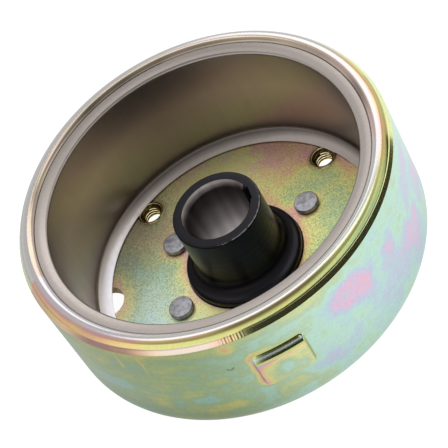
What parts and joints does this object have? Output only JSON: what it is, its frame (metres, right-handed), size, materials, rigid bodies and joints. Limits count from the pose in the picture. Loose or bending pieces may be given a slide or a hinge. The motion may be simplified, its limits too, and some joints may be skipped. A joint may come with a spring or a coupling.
{
  "type": "flywheel",
  "caption": "Cup-shaped magneto flywheel for a small engine: steel shell with arc magnets behind a thin liner, riveted to a keyed taper-bore hub.",
  "frame": {"origin": "on the shaft axis, in the plane of the hub flange's back face, on which the flywheel stands", "axes": "+Z along the shaft axis, out of the cup's open side; the trigger boss is near -Y and the keyway near +X"},
  "size_m": [0.112, 0.1135, 0.0465],
  "materials": {
    "zinc_chromate": "yellow chromate over zinc plate, iridescent",
    "black_steel": "blackened, satin",
    "rivet_steel": "bare steel, dull",
    "stainless": "pressed sheet, satin",
    "ferrite": "ground, matt",
    "resin": "cast, matt"
  },
  "bodies": {
    "root": {"shell": "zinc_chromate", "hub": "black_steel", "rivet_1": "rivet_steel", "rivet_2": "rivet_steel", "rivet_3": "rivet_steel", "rivet_4": "rivet_steel", "rivet_5": "rivet_steel", "rivet_6": "rivet_steel", "magnet_liner": "stainless", "magnet_01": "ferrite", "magnet_02": "ferrite", "magnet_03": "ferrite", "magnet_04": "ferrite", "magnet_05": "ferrite", "magnet_06": "ferrite", "magnet_07": "ferrite", "magnet_08": "ferrite", "magnet_09": "ferrite", "magnet_10": "ferrite", "magnet_11": "ferrite", "magnet_12": "ferrite", "resin_cage": "resin"}
  },
  "joints": []
}
